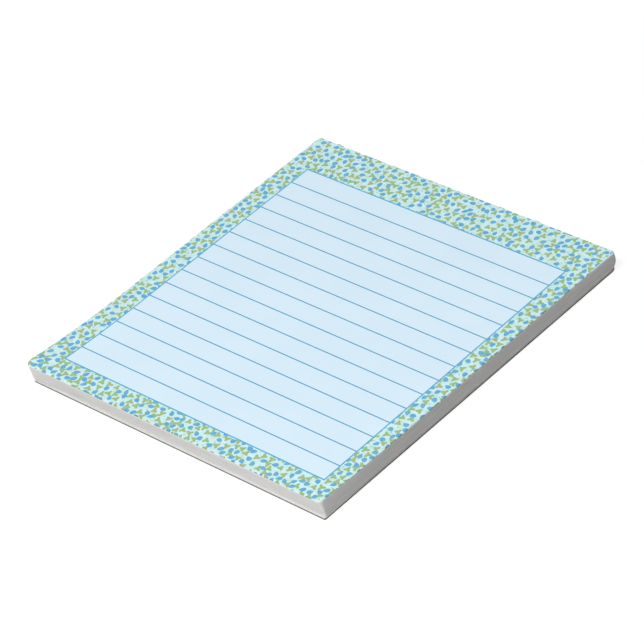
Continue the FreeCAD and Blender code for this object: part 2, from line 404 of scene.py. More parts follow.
ground_ink = ink_material("border_ground", GROUND, GROUND_DEEP, BORDER_SPOTS)
panel_ink = ink_material("panel_ink", PANEL, PANEL_DEEP, PANEL_SPOTS, fibre=0.015)
frame_ink = ink_material("frame_ink", FRAME_BLUE, shade(FRAME_BLUE, LINE_SHADE), LINE_SPOTS)
rule_ink = ink_material("rule_ink", RULE_BLUE, shade(RULE_BLUE, LINE_SHADE), LINE_SPOTS)
# The drops and sprigs carry painted shade where the leaf bends down at its edges.
drop_ink = ink_material("drop_ink", DROP_BLUE, DROP_DEEP, DROP_SPOTS, fibre=0.08, painted_bend_shade=0.5)
sprig_ink = ink_material(
    "sprig_ink", SPRIG_GREEN, SPRIG_OLIVE, BORDER_SPOTS, fibre=0.08, painted_bend_shade=0.55
)
bud_ink = ink_material("bud_ink", BUD_TEAL, BUD_DEEP, BORDER_SPOTS)
stem_ink = ink_material("stem_ink", STEM_GREY, STEM_WARM, BORDER_SPOTS)
leaf_edges = leaf_edge_material()
board_core = board_core_material()
board_liner = board_liner_material()
milky_glue = glue_material("milky_glue", (0.62, 0.6, 0.58), (0.84, 0.76, 0.75))
dirty_glue = glue_material("dirty_glue", (0.17, 0.19, 0.17), (0.3, 0.32, 0.29))


# The block of leaves

LEAVES = 58
# Each of these is a shallow dent in the glued edge: its distance from the left, width, depth
DENTS = ((20.6, 4.2, 0.55), (57.3, 4.0, 0.6), (118.0, 5.0, 0.2))
DENT_HEIGHT = 1.6
DENT_FALLOFF = 1.5
# The glued edge is worn back by this much, more and less in spots of this size
GLUED_WEAR = 0.24
GLUED_WEAR_SPOT = 2.6
GLUED_WEAR_CHANGE = 0.6
# Each leaf is set in by up to LEAF_SLIP in soft spots, which change from leaf to leaf, and by
# up to LEAF_RANDOM all round. Over GLUE_HOLD from the glued edge this fades out
LEAF_SLIP = 0.05
LEAF_RANDOM = 0.025
SLIP_SPOT = 34.0
SLIP_CHANGE = 0.23
GLUE_HOLD = 1.5
# Three levels in each leaf's thickness, from its top, with the groove at each
LEAF_GROOVE = 0.03
LEAF_LEVELS = ((0.02, LEAF_GROOVE), (0.3, 0.0), (0.75, 0.0))
# The lowest leaves stand back, with a dark line over the board
BASE_LEAVES = 3
BASE_GROOVE = 0.25
# The far right corner swells at the top, over this run. Its radius shrinks from the top leaf
# to the middle one and grows again to the lowest
SWELL_TOP = 0.3
SWELL_RUN = 16.0
FAR_CORNER_MIDDLE = 0.9
FAR_CORNER_LOWEST = 3.2
# The printed part of the rolled top edge, in degrees, from level to where the steps begin
SMOOTH_ROLL_ANGLES = (90, 78, 66, 55, 45)
# How many points each stretch of a leaf's outline has
LEFT_POINTS = 18
FAN_POINTS = 24
FANNED_CORNER_POINTS = 14
BEND_POINTS = 8
FREE_POINTS = 56
NEAR_CORNER_POINTS = 12
RIGHT_POINTS = 64
FAR_CORNER_POINTS = 8
GLUED_POINTS = 150
WORN_CORNER_POINTS = 10
# Rows of the noise, so that the wear and the glue change in ways of their own
WEAR_NOISE = 5.0
FILM_NOISE = 3.0
GLUE_TOP_NOISE = 8.0


def dent_at(x, below_top):
    """How far the leaves stand back from the glued edge at a place, by wear and dents."""
    uneven = smooth_noise(x / GLUED_WEAR_SPOT, WEAR_NOISE, 0.0)
    total = GLUED_WEAR * (1 + GLUED_WEAR_CHANGE * uneven)
    for place, width, depth in DENTS:
        away = across(x, place, width)
        total += depth * math.exp(-away * away * DENT_FALLOFF)
    return total * clamp(1 - below_top / DENT_HEIGHT, 0.0, 1.0)


def swell_at(y, depth):
    """How far the leaves swell out to the right close to the far right corner."""
    near_corner = clamp(1 - (glued_edge - y) / SWELL_RUN, 0.0, 1.0)
    return SWELL_TOP * (1 - depth) * near_corner * near_corner * (3 - 2 * near_corner)


def far_radius_at(depth):
    """The radius of the far right corner from the top leaf at 0 to the lowest one at 1."""
    end = FAR_CORNER_RADIUS if depth < 0.5 else FAR_CORNER_LOWEST
    return between(FAR_CORNER_MIDDLE, end, (2 * depth - 1) ** 2)


def leaf_points(below_top, roll):
    """Points round one leaf, anticlockwise from the far left, set in by the roll."""
    depth = below_top / pages_height
    left = left_edge + LEFT_INSET_LOWEST * depth + roll
    corner_free = free_edge + CORNER_INSET_LOWEST * depth + roll
    free = free_edge + FREE_INSET_LOWEST * depth + roll
    fan = between(FAN_TOP, FAN_LOWEST, depth)
    radius = between(FANNED_CORNER_TOP, FANNED_CORNER_LOWEST, depth) - roll
    right_roll = roll * RIGHT_ROLL_SHARE
    outset = RIGHT_OUTSET_LOWEST * depth - right_roll
    near = between(NEAR_CORNER_TOP, NEAR_CORNER_LOWEST, depth) - roll
    far = far_radius_at(depth) - right_roll
    fan_end = corner_free + radius
    fanned_x = left - fan_shift(fan_end, fan) + radius
    bend_x = left_edge + CORNER_INSET_RUN
    right_fan = between(FAN_RIGHT_TOP, FAN_RIGHT_LOWEST, depth)
    near_x = right_at(free + near, right_fan) + outset - near
    worn_x = left_edge + WORN_CORNER_RADIUS
    worn_y = glued_edge - WORN_CORNER_RADIUS
    far_x = right_glued + outset + swell_at(glued_edge, depth) - far
    points = [(left, y) for y in steps(worn_y, fan_start, LEFT_POINTS)]
    points += [(left - fan_shift(y, fan), y) for y in steps(fan_start, fan_end, FAN_POINTS)]
    points += arc(fanned_x, fan_end, radius, 180, 270, FANNED_CORNER_POINTS)
    for share in steps(0, 1, BEND_POINTS):
        points.append((between(fanned_x, bend_x, share), between(corner_free, free, share)))
    points += [(x, free) for x in steps(bend_x, near_x, FREE_POINTS)]
    points += arc(near_x, free + near, near, 270, 360, NEAR_CORNER_POINTS)
    for y in steps(free + near, glued_edge - far, RIGHT_POINTS):
        points.append((right_at(y, right_fan) + outset + swell_at(y, depth), y))
    points += arc(far_x, glued_edge - far, far, 0, 90, FAR_CORNER_POINTS)
    for x in steps(far_x, worn_x, GLUED_POINTS):
        points.append((x, glued_edge - dent_at(x, below_top)))
    for x, y in arc(worn_x, worn_y, WORN_CORNER_RADIUS, 90, 180, WORN_CORNER_POINTS):
        points.append((max(x, left), y))
    return points


def outward_normals(points):
    """The outward direction at each point of a ring."""
    normals = []
    for number in range(len(points)):
        x0, y0 = points[number - 1]
        x1, y1 = points[(number + 1) % len(points)]
        length = math.hypot(x1 - x0, y1 - y0)
        normals.append(((y1 - y0) / length, -(x1 - x0) / length))
    return normals


def slipped(points, leaf, groove):
    """A leaf's points, set in by its slip against the others and by the groove beside it."""
    chance = random.Random(leaf)
    own = chance.random() * LEAF_RANDOM
    moved = []
    for (x, y), (nx, ny) in zip(points, outward_normals(points)):
        uneven = smooth_noise(x / SLIP_SPOT, y / SLIP_SPOT, leaf * SLIP_CHANGE)
        slip = LEAF_SLIP * (1 + uneven) / 2
        inward = (own + slip + groove) * free_of_glue(y)
        moved.append((x - nx * inward, y - ny * inward))
    return moved


def page_stack():
    """The leaves as one closed block: a soft top edge and a fine step for every leaf."""
    bm = bmesh.new()
    rings = []
    for degrees in SMOOTH_ROLL_ANGLES:
        angle = math.radians(degrees)
        below = EDGE_ROLL * (1 - math.sin(angle))
        points = leaf_points(below, EDGE_ROLL * (1 - math.cos(angle)))
        rings.append((ring_of(bm, points, pages_top - below), 0))
    thickness = pages_height / LEAVES
    smooth_depth = EDGE_ROLL * (1 - math.sin(math.radians(SMOOTH_ROLL_ANGLES[-1])))
    for leaf in range(math.ceil(smooth_depth / thickness), LEAVES):
        for share, groove in LEAF_LEVELS:
            below = (leaf + share) * thickness
            middle = (leaf + 0.5) * thickness
            sunk = EDGE_ROLL - middle
            roll = EDGE_ROLL - math.sqrt(EDGE_ROLL ** 2 - sunk ** 2) if sunk > 0 else 0.0
            inward = groove if leaf < LEAVES - BASE_LEAVES else BASE_GROOVE
            points = slipped(leaf_points(below, roll), leaf, inward)
            rings.append((ring_of(bm, points, pages_top - below), 1))
    last_points = slipped(leaf_points(pages_height, 0), LEAVES, BASE_GROOVE)
    rings.append((ring_of(bm, last_points, board_top), 1))
    for (upper, _), (lower, kind) in zip(rings, rings[1:]):
        bridge(bm, lower, upper, kind)
    bm.faces.new(rings[0][0])
    underside = bm.faces.new(list(reversed(rings[-1][0])))
    underside.material_index = 1
    piece = add_object("page_stack", bm, [ground_ink, leaf_edges])
    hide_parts("page_block")


page_stack()


# The backing board

LINER_THICKNESS = 0.1
BOARD_WEAR = 0.035
# Spots of wear in one millimetre along the cut edge, and the change of them upwards
BOARD_WEAR_SPOTS = 0.9
BOARD_WEAR_CHANGE = 4.0
# From the underside up: the level, how far its outline is set in, its share of the wear, and
# the material of the faces below it, 0 for the core and 1 for a lining
BOARD_LEVELS = (
    (0.0, 0.05, 0.0, 1),
    (0.04, 0.012, 0.3, 1),
    (0.06, 0.02, 0.6, 0),
    (board_top * 0.35, 0.03, 1.0, 0),
    (board_top * 0.5, 0.035, 1.0, 0),
    (board_top * 0.7, 0.03, 1.0, 0),
    (board_top - LINER_THICKNESS, 0.02, 0.6, 0),
    (board_top - 0.04, 0.012, 0.3, 1),
    (board_top, 0.05, 0.0, 1),
)
# How many points each stretch of the board's outline has
BOARD_SIDE_POINTS = 60
BOARD_CORNER_POINTS = 8
BOARD_FREE_POINTS = 70
BOARD_GLUED_POINTS = 40


def board_points(inset):
    """Points round the board, anticlockwise from the far left."""
    left = board_left + inset
    free = board_free + inset
    far = glued_edge
    radius = BOARD_CORNER_RADIUS - inset
    far_radius = FAR_CORNER_LOWEST - inset
    far_y = far - far_radius
    proud = RIGHT_OUTSET_LOWEST + BOARD_PROUD - inset
    near_x = right_free + proud - radius
    far_x = right_glued + proud - far_radius
    points = [(left, y) for y in steps(far, free + radius, BOARD_SIDE_POINTS)]
    points += arc(left + radius, free + radius, radius, 180, 270, BOARD_CORNER_POINTS)
    points += [(x, free) for x in steps(left + radius, near_x, BOARD_FREE_POINTS)]
    points += arc(near_x, free + radius, radius, 270, 360, BOARD_CORNER_POINTS)
    points += [(right_at(y) + proud, y) for y in steps(free + radius, far_y, BOARD_SIDE_POINTS)]
    points += arc(far_x, far_y, far_radius, 0, 90, BOARD_CORNER_POINTS)
    points += [(x, far) for x in steps(far_x, left, BOARD_GLUED_POINTS)]
    return points


def backing_board():
    """The board: a grey core, a little ragged where it was cut, between two pale linings."""
    bm = bmesh.new()
    rings = []
    for z, inset, wear, kind in BOARD_LEVELS:
        worn = []
        points = board_points(inset)
        for (x, y), (nx, ny) in zip(points, outward_normals(points)):
            uneven = smooth_noise(
                x * BOARD_WEAR_SPOTS, y * BOARD_WEAR_SPOTS, z * BOARD_WEAR_CHANGE
            )
            inward = BOARD_WEAR * wear * (1 + uneven) / 2 * free_of_glue(y)
            worn.append((x - nx * inward, y - ny * inward))
        rings.append((ring_of(bm, worn, z), kind))
    for (lower, _), (upper, kind) in zip(rings, rings[1:]):
        bridge(bm, lower, upper, kind)
    top = bm.faces.new(rings[-1][0])
    bottom = bm.faces.new(list(reversed(rings[0][0])))
    top.material_index = 1
    bottom.material_index = 1
    piece = add_object("board_with_linings", bm, [board_core, board_liner])
    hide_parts("backing_board")


backing_board()


# The padding glue

# Each dried lump has its distance from the left edge, its width, its depth and its drop
LUMPS = (
    (9.6, 2.6, 0.62, 2.0),
    (37.4, 2.6, 0.36, 2.0),
    (49.5, 2.2, 0.2, 1.6),
    (75.2, 2.2, 0.2, 1.5),
    (88.6, 2.4, 0.4, 2.2),
    (105.0, 3.2, 0.74, 2.4),
    (127.5, 2.2, 0.2, 1.6),
)
DIRTY_LUMP_PLACE = 9.6
DIRTY_LUMP_REACH = 1.5
# A lump's middle and half its height as shares of its drop, and how steeply it thins out
LUMP_MIDDLE = 0.35
LUMP_HALF = 0.75
LUMP_FALLOFF = 1.6
# The film is thinner in places by up to twice this share, in spots of this size
FILM_CHANGE = 0.25
FILM_SPOT_WIDTH = 5.0
FILM_SPOT_HEIGHT = 2.0
# The film's upper limit: how far below the top leaf, and its unevenness
GLUE_TOP_BELOW = 0.06
GLUE_TOP_CHANGE = 0.04
GLUE_TOP_SPOT = 2.5
# A deep lump rises by the sum of these, but over the top leaf no further than the first
LUMP_RISE = 0.11
LUMP_RISE_MORE = 0.04
LUMP_RISE_BY_DEPTH = 2.5
LUMP_RISE_FALLOFF = 1.2
DENT_GLUE_FALL = 1.5
# The film thins out over this run at both ends, to this share of its thickness
FILM_END_RUN = 0.6
FILM_END_SHARE = 0.2
# It closes at the top in a curve of this power, to a lip of this share of its thickness
FILM_LIP_SHARE = 0.12
FILM_CLOSING_POWER = 12
FILM_BACK_DROP = 0.01
FILM_COLUMNS = 420
FILM_ROWS = 14


def glue_thickness(x, z):
    """How far the glue stands out of the glued edge at a place."""
    uneven = smooth_noise(x / FILM_SPOT_WIDTH, FILM_NOISE, z / FILM_SPOT_HEIGHT)
    thickness = GLUE_FILM * (1 - FILM_CHANGE + FILM_CHANGE * uneven)
    for place, width, depth, drop in LUMPS:
        aside = across(x, place, width)
        down = (pages_top - LUMP_MIDDLE * drop - z) / (LUMP_HALF * drop)
        thickness += depth * math.exp(-LUMP_FALLOFF * (aside ** 2 + down ** 2))
    return thickness


def glue_top(x):
    """The upper limit of the glue, which rises at a lump and falls at a dent."""
    uneven = smooth_noise(x / GLUE_TOP_SPOT, GLUE_TOP_NOISE, 0.0)
    top = pages_top - GLUE_TOP_BELOW + GLUE_TOP_CHANGE * uneven
    for place, width, depth, _ in LUMPS:
        rise = (LUMP_RISE + LUMP_RISE_MORE) * min(1.0, depth * LUMP_RISE_BY_DEPTH)
        top += rise * math.exp(-LUMP_RISE_FALLOFF * across(x, place, width) ** 2)
    return min(top, pages_top + LUMP_RISE) - DENT_GLUE_FALL * dent_at(x, 0.0)


def glue_strip():
    """The film of dried glue down the bound edge, as one closed skin with lumps."""
    bm = bmesh.new()
    film_left = left_edge + WORN_CORNER_RADIUS
    film_right = right_glued - FAR_CORNER_RADIUS
    sections = []
    for column in range(FILM_COLUMNS + 1):
        x = between(film_left, film_right, column / FILM_COLUMNS)
        from_end = min(x - film_left, film_right - x)
        ends = min(1.0, from_end / FILM_END_RUN + FILM_END_SHARE)
        top = glue_top(x)
        section = [bm.verts.new((x, glued_edge, 0.0))]
        for row in range(FILM_ROWS + 1):
            share = row / FILM_ROWS
            z = top * math.sin(math.pi / 2 * share)
            closing = math.sqrt(max(0.0, 1 - share ** FILM_CLOSING_POWER))
            out = glue_thickness(x, z) * ends * between(FILM_LIP_SHARE, 1.0, closing)
            section.append(bm.verts.new((x, glued_edge + out, z)))
        section.append(bm.verts.new((x, glued_edge, top - FILM_BACK_DROP)))
        sections.append(section)
    for first, second in zip(sections, sections[1:]):
        count = len(first)
        for number in range(count):
            following = (number + 1) % count
            face = bm.faces.new(
                (first[number], second[number], second[following], first[following])
            )
            middle = face.calc_center_median()
            away = math.hypot(middle.x - left_edge - DIRTY_LUMP_PLACE, middle.z - pages_top)
            face.material_index = 1 if away < DIRTY_LUMP_REACH else 0
    bm.faces.new(sections[0])
    bm.faces.new(list(reversed(sections[-1])))
    bmesh.ops.recalc_face_normals(bm, faces=bm.faces)
    glues = [milky_glue, dirty_glue]
    piece = add_object("dried_glue", bm, glues, SOFT_CRISP_DEGREES)
    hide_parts("glue_strip")


glue_strip()


# Print on the top leaf

PRINT_FILM = 0.012
# How high the top of each ink lies over the paper
STEM_LIFT = 0.012
BUD_LIFT = 0.015
SPRIG_LIFT = 0.018
DROP_LIFT = 0.023
PANEL_LIFT = 0.03
FRAME_LIFT = 0.034
RULE_LIFT = 0.038
# How many faces the straight prints have along their length, so that they follow the fan
LEFT_LINE_FACES = 120
RIGHT_LINE_FACES = 40
WIDTH_FACES = 60
WELD = 0.001
RIGHT_ROLL = EDGE_ROLL * RIGHT_ROLL_SHARE
FADE_SLOPE = (FAN_TOP - FAN_AT_FRAME) / FRAME_MARGIN_LEFT
# How far the print goes down the rolled edge, as an angle
PRINT_ROLL_ANGLE = 0.78
# The middles and radii of the flat's two corners at the free edge: the fanned, the near right
CORNERS = (
    (
        left_edge + FANNED_CORNER_TOP,
        free_edge + FANNED_CORNER_TOP,
        FANNED_CORNER_TOP - EDGE_ROLL,
    ),
    (
        right_at(free_edge, FAN_RIGHT_TOP) - RIGHT_ROLL - NEAR_CORNER_TOP + EDGE_ROLL,
        free_edge + NEAR_CORNER_TOP,
        NEAR_CORNER_TOP - EDGE_ROLL,
    ),
)


def past_flat(x, y):
    """How far a point of the flat sheet lies past the unrolled part, and in what direction."""
    for middle_x, middle_y, radius in CORNERS:
        away_x = x - middle_x
        away_y = y - middle_y
        if away_x * middle_x > 0 > away_y:
            away = math.hypot(away_x, away_y)
            return away - radius, away_x / away, away_y / away
    sides = (
        (left_edge + EDGE_ROLL - x, -1.0, 0.0),
        (x - right_at(y, FAN_RIGHT_TOP) + RIGHT_ROLL, 1.0, 0.0),
        (free_edge + EDGE_ROLL - y, 0.0, -1.0),
    )
    return max(sides)


def roll_reach(nx, ny):
    """How far the rolled edge reaches out level in a direction; it always falls EDGE_ROLL."""
    return math.hypot(nx * (RIGHT_ROLL if nx > 0 else EDGE_ROLL), ny * EDGE_ROLL)


def print_wrap(nx, ny):
    """How much of the flat sheet's print goes down the rolled edge in a direction."""
    return PRINT_ROLL_ANGLE * (roll_reach(nx, ny) + EDGE_ROLL) / 2


def top_fan_shift(x, y):
    """How far the fan pushes a point of the top leaf, where it fades to the right."""
    return fan_shift(y, max(0.0, FAN_TOP - FADE_SLOPE * max(0.0, x - left_edge)))


def on_leaf(x, y, lift):
    """The place on the top leaf of a point of the flat sheet, lifted off the paper."""
    shift = top_fan_shift(x, y)
    past, nx, ny = past_flat(x, y)
    z = pages_top + lift
    if past > 0:
        reach = roll_reach(nx, ny)
        angle = min(past / ((reach + EDGE_ROLL) / 2), PRINT_ROLL_ANGLE)
        out = (reach + lift) * math.sin(angle) - past
        x += nx * out
        y += ny * out
        z -= (EDGE_ROLL + lift) * (1 - math.cos(angle))
    return x - shift, y, z


def drape(bm, lift):
    """Moves a flat print onto the top leaf, with every face turned up."""
    for vertex in bm.verts:
        x, y, layer = vertex.co
        vertex.co = on_leaf(x, y, lift + layer)
    bmesh.ops.recalc_face_normals(bm, faces=bm.faces)
    for face in bm.faces:
        if face.normal.z < 0:
            face.normal_flip()


def print_piece(name, bm, lift, material, slot, *nodes):
    """A film of ink as a piece of its own, in place of solids where it has them."""
    drape(bm, lift)
    piece = add_object(name, bm, [material], SOFT_CRISP_DEGREES)
    film = piece.modifiers.new("film", "SOLIDIFY")
    film.thickness = PRINT_FILM * MM
    film.offset = -1
    solid = piece.evaluated_get(bpy.context.evaluated_depsgraph_get())
    mesh = bpy.data.meshes.new_from_object(solid)
    piece.modifiers.clear()
    mesh.set_sharp_from_angle(angle=math.radians(SOFT_CRISP_DEGREES))
    piece.data = mesh
    if nodes:
        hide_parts(*nodes)


def add_patch(bm, x0, x1, y0, y1, columns, rows):
    """A flat rectangle of quads."""
    grid = []
    for row in range(rows + 1):
        y = between(y0, y1, row / rows)
        places = [(between(x0, x1, column / columns), y) for column in range(columns + 1)]
        grid.append(ring_of(bm, places, 0))
    for lower, upper in zip(grid, grid[1:]):
        add_quads(bm, lower, upper)


def add_polygon(bm, outline, layer=0.0):
    """A flat face with a vertex at its middle, so that it can follow the curved edges."""
    count = len(outline)
    middle_x = sum(x for x, _ in outline) / count
    middle_y = sum(y for _, y in outline) / count
    middle = bm.verts.new((middle_x, middle_y, layer))
    rim = [bm.verts.new((x, y, layer)) for x, y in outline]
    for number in range(count):
        bm.faces.new((middle, rim[number], rim[(number + 1) % count]))


def writing_panel():
    """The pale panel, which ends under the frame line."""
    bm = bmesh.new()
    under = FRAME_LINE_WIDTH / 4
    left = frame_left + under
    right = frame_right - under
    low = frame_free + under
    high = frame_glued - under
    add_patch(bm, left, right, low, high, WIDTH_FACES, WIDTH_FACES)
    print_piece("panel_print", bm, PANEL_LIFT, panel_ink, "panel_ink", "writing_panel")


def frame_line():
    """The line round the panel: two long sides and two short ones between them."""
    bm = bmesh.new()
    half = FRAME_LINE_WIDTH / 2
    left = frame_left + half
    right = frame_right - half
    low = frame_free - half
    high = frame_glued + half
    add_patch(bm, frame_left - half, left, low, high, 1, LEFT_LINE_FACES)
    add_patch(bm, right, frame_right + half, low, high, 1, RIGHT_LINE_FACES)
    add_patch(bm, left, right, low, frame_free + half, WIDTH_FACES, 1)
    add_patch(bm, left, right, frame_glued - half, high, WIDTH_FACES, 1)
    bmesh.ops.remove_doubles(bm, verts=bm.verts, dist=WELD)
    print_piece("frame_print", bm, FRAME_LIFT, frame_ink, "frame_ink", "frame_line")


def rule_lines():
    """The writing rules, from one side of the frame to the other."""
    bm = bmesh.new()
    left = frame_left + FRAME_LINE_WIDTH / 2
    right = frame_right - FRAME_LINE_WIDTH / 2
    row = (frame_glued - frame_free) / (RULE_COUNT + 1)
    for number in range(1, RULE_COUNT + 1):
        middle = frame_glued - RULE_SLIP - number * row
        low = middle - RULE_WIDTH / 2
        high = middle + RULE_WIDTH / 2
        add_patch(bm, left, right, low, high, WIDTH_FACES, 1)
    print_piece("rule_print", bm, RULE_LIFT, rule_ink, "rule_ink", "rule_lines")


writing_panel()
frame_line()
rule_lines()


# The strewn border: drops and sprigs where the solids have them, more of them where the
# print runs off at the frame line and at the sheet's edges, and small buds and stems between

OUTLINE_POINTS = 30
# A drop's size, the shares by which it changes, how far it leans, and its form
DROP_LENGTH = 2.5
DROP_WIDTH = 1.88
DROP_LENGTHS = (0.9, 1.06)
DROP_WIDTHS = (0.88, 1.08)
DROP_LEAN = 0.16
DROP_TAPER = 0.75
DROP_BELLY = 1.2
# A sprig's size, the shares by which its leaves change, and its form
SPRIG_LEAVES = 3
SPRIG_REACH = 1.46
SPRIG_REACHES = (0.84, 1.14)
SPRIG_WAIST = 0.66
SPRIG_POINTEDNESS = 1.15
# Half the length of a bud, and its width as a share of its length
BUD_HALF_LENGTHS = (0.32, 0.5)
BUD_WIDTH_SHARE = 0.6
BUD_POINTS = 12
# A stem's length, its bend to either side, and how far it thins out over its steps
STEM_LENGTHS = (1.9, 2.5)
STEM_BEND = 0.7
STEM_WIDTH = 0.13
STEM_TAPER = 0.7
STEM_STEPS = (0.0, 0.25, 0.5, 0.75, 1.0)
# Tries to place a motif or a bud, and how far over the border's limits one may be
BORDER_SEED = 29
MAIN_DARTS = 12000
BUD_DARTS = 9000
DART_MARGIN = 1.0
MOTIF_OVER = 0.9
BUD_OVER = 0.3
# The least distances: between motifs, also close to the free and right edges, between motifs
# of a kind, from a bud to a motif, and between buds
MAIN_SPACING = 2.0
EDGE_SPACING = 1.65
EDGE_STRIP = 7.5
SAME_KIND_APART = 2.2
BUD_SPACING = 1.6
BUD_APART = 1.15
# Motifs of a kind that are near enough to meet lie on different ones of these layers
LAYERS = (0.0, 0.001, 0.002, 0.003)
MEETING_REACH = 3.2
# How the print is cut where it bends: steps down the roll, round a corner, along the right
BEND_CUTS = 4
CORNER_CUTS = (22.5, 45, 67.5)
RIGHT_CUTS = 6
SOLID_WELD = 0.002


def drop_outline(chance):
    """A round-bellied drop about its middle, with its tip at +Y, a little uneven."""
    length = DROP_LENGTH * chance.uniform(*DROP_LENGTHS)
    width = DROP_WIDTH * chance.uniform(*DROP_WIDTHS)
    lean = chance.uniform(-DROP_LEAN, DROP_LEAN)
    points = []
    for angle in steps(0, TURN, OUTLINE_POINTS):
        y = length / 2 * math.cos(angle)
        taper = abs(math.sin(angle / 2)) ** DROP_TAPER
        x = width / 2 * DROP_BELLY * math.sin(angle) * taper
        points.append((x + lean * y * y / length, y))
    return points


def sprig_outline(chance):
    """Three pointed leaves that meet at the middle, the first of them at +X, a bit uneven."""
    reaches = [SPRIG_REACH * chance.uniform(*SPRIG_REACHES) for _ in range(SPRIG_LEAVES)]
    points = []
    for number, angle in enumerate(steps(0, TURN, OUTLINE_POINTS)):
        lobe = (number * SPRIG_LEAVES + OUTLINE_POINTS // 2) // OUTLINE_POINTS % SPRIG_LEAVES
        crest = (0.5 + 0.5 * math.cos(SPRIG_LEAVES * angle)) ** SPRIG_POINTEDNESS
        radius = between(SPRIG_WAIST, reaches[lobe], crest)
        points.append((radius * math.cos(angle), radius * math.sin(angle)))
    return points


def placed(outline, x, y, turn):
    """An outline turned by an angle and moved to a place."""
    cosine = math.cos(turn)
    sine = math.sin(turn)
    return [(x + u * cosine - v * sine, y + u * sine + v * cosine) for u, v in outline]


def solid_places(node):
    """Where each small solid of a node is, on the flat sheet, and which way its tip points."""
    bm = bmesh.new()
    bm.from_mesh(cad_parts[node].data)
    bmesh.ops.remove_doubles(bm, verts=bm.verts, dist=SOLID_WELD * MM)
    unseen = set(bm.verts)
    places = []
    for start in bm.verts:
        if start not in unseen:
            continue
        unseen.discard(start)
        island = [start]
        for vertex in island:
            for edge in vertex.link_edges:
                other = edge.other_vert(vertex)
                if other in unseen:
                    unseen.discard(other)
                    island.append(other)
        middle = sum((vertex.co for vertex in island), Vector()) / len(island)
        tip = max(island, key=lambda vertex: (vertex.co - middle).length).co - middle
        x = middle.x / MM
        y = middle.y / MM
        places.append((x + top_fan_shift(x, y), y, math.atan2(tip.y, tip.x)))
    bm.free()
    places.sort()
    return places


def in_border(x, y, over):
    """Whether a place is in the strewn border, or over its limits by no more than this."""
    if not left_edge - over < x < right_at(y) + over:
        return False
    if not free_edge - over < y < glued_edge + over:
        return False
    in_width = frame_left + over < x < frame_right - over
    in_length = frame_free + over < y < frame_glued - over
    return not (in_width and in_length)


def closest(x, y, places):
    """How far the nearest of some places is."""
    return min((math.hypot(x - place[0], y - place[1]) for place in places), default=math.inf)


def layered(places):
    """The places with a layer each, so that no two motifs that meet share a face."""
    found = []
    for x, y, turn in places:
        taken = {layer for u, v, _, layer in found if math.hypot(x - u, y - v) < MEETING_REACH}
        free = [layer for layer in LAYERS if layer not in taken]
        found.append((x, y, turn, free[0] if free else LAYERS[-1]))
    return found


def sheet_limits(share):
    """Lines round the print as points and outward directions: 0 at the flat, 1 at its rim."""
    limits = [
        (left_edge + EDGE_ROLL - print_wrap(-1, 0) * share, 0, -1, 0),
        (0, free_edge + EDGE_ROLL - print_wrap(0, -1) * share, 0, -1),
    ]
    right_reach = print_wrap(1, 0) * share - RIGHT_ROLL
    for y in (0, *steps(fan_start, free_edge, RIGHT_CUTS)):
        x = right_at(y, FAN_RIGHT_TOP)
        lean = x - right_at(y - 1, FAN_RIGHT_TOP)
        limits.append((x + right_reach, y, 1, -lean))
    for middle_x, middle_y, radius in CORNERS:
        for degrees in CORNER_CUTS:
            nx = math.copysign(math.cos(math.radians(degrees)), middle_x)
            ny = -math.sin(math.radians(degrees))
            reach = radius + print_wrap(nx, ny) * share
            limits.append((middle_x + nx * reach, middle_y + ny * reach, nx, ny))
    return limits


def trim_to_sheet(bm):
    """Cuts a flat print where the leaf bends, and off along the sheet's edges and corners."""

    def cut(limits, clear):
        for x, y, nx, ny in limits:
            everything = bm.verts[:] + bm.edges[:] + bm.faces[:]
            bmesh.ops.bisect_plane(
                bm, geom=everything, plane_co=(x, y, 0), plane_no=(nx, ny, 0), clear_outer=clear
            )

    diagonal = math.sqrt(0.5)
    worn_x = left_edge + WORN_CORNER_RADIUS * (1 - diagonal)
    worn_y = glued_edge - WORN_CORNER_RADIUS * (1 - diagonal)
    far_reach = FAR_CORNER_RADIUS * (1 - diagonal)
    far_corner = (right_glued - far_reach, glued_edge - far_reach, diagonal, diagonal)
    glued_limit = (0, glued_edge - GLUED_WEAR, 0, 1)
    cut([glued_limit, far_corner, (worn_x, worn_y, -diagonal, diagonal)], True)
    cut(sheet_limits(1), True)
    for share in steps(0, 1, BEND_CUTS):
        cut(sheet_limits(share), False)


def border_places(chance):
    """Where the drops, the sprigs and the buds are on the flat sheet, and how they turn."""
    drops = [(x, y, tip - math.pi / 2) for x, y, tip in solid_places("border_drops")]
    sprigs = solid_places("border_sprigs")
    for _ in range(MAIN_DARTS):
        x = chance.uniform(left_edge - DART_MARGIN, right_edge + DART_MARGIN)
        y = chance.uniform(free_edge - DART_MARGIN, glued_edge + DART_MARGIN)
        if not in_border(x, y, MOTIF_OVER):
            continue
        at_edge = y < free_edge + EDGE_STRIP or x > right_at(y) - EDGE_STRIP
        to_drop = closest(x, y, drops)
        to_sprig = closest(x, y, sprigs)
        if min(to_drop, to_sprig) > (EDGE_SPACING if at_edge else MAIN_SPACING):
            place = (x, y, chance.uniform(0, TURN))
            if max(to_drop, to_sprig) > SAME_KIND_APART:
                (drops if to_drop > to_sprig else sprigs).append(place)
    buds = []
    for _ in range(BUD_DARTS):
        x = chance.uniform(left_edge, right_edge)
        y = chance.uniform(free_edge, glued_edge)
        clear = in_border(x, y, BUD_OVER) and closest(x, y, drops + sprigs) > BUD_SPACING
        if clear and closest(x, y, buds) > BUD_APART:
            buds.append((x, y, chance.uniform(0, TURN)))
    return drops, sprigs, buds


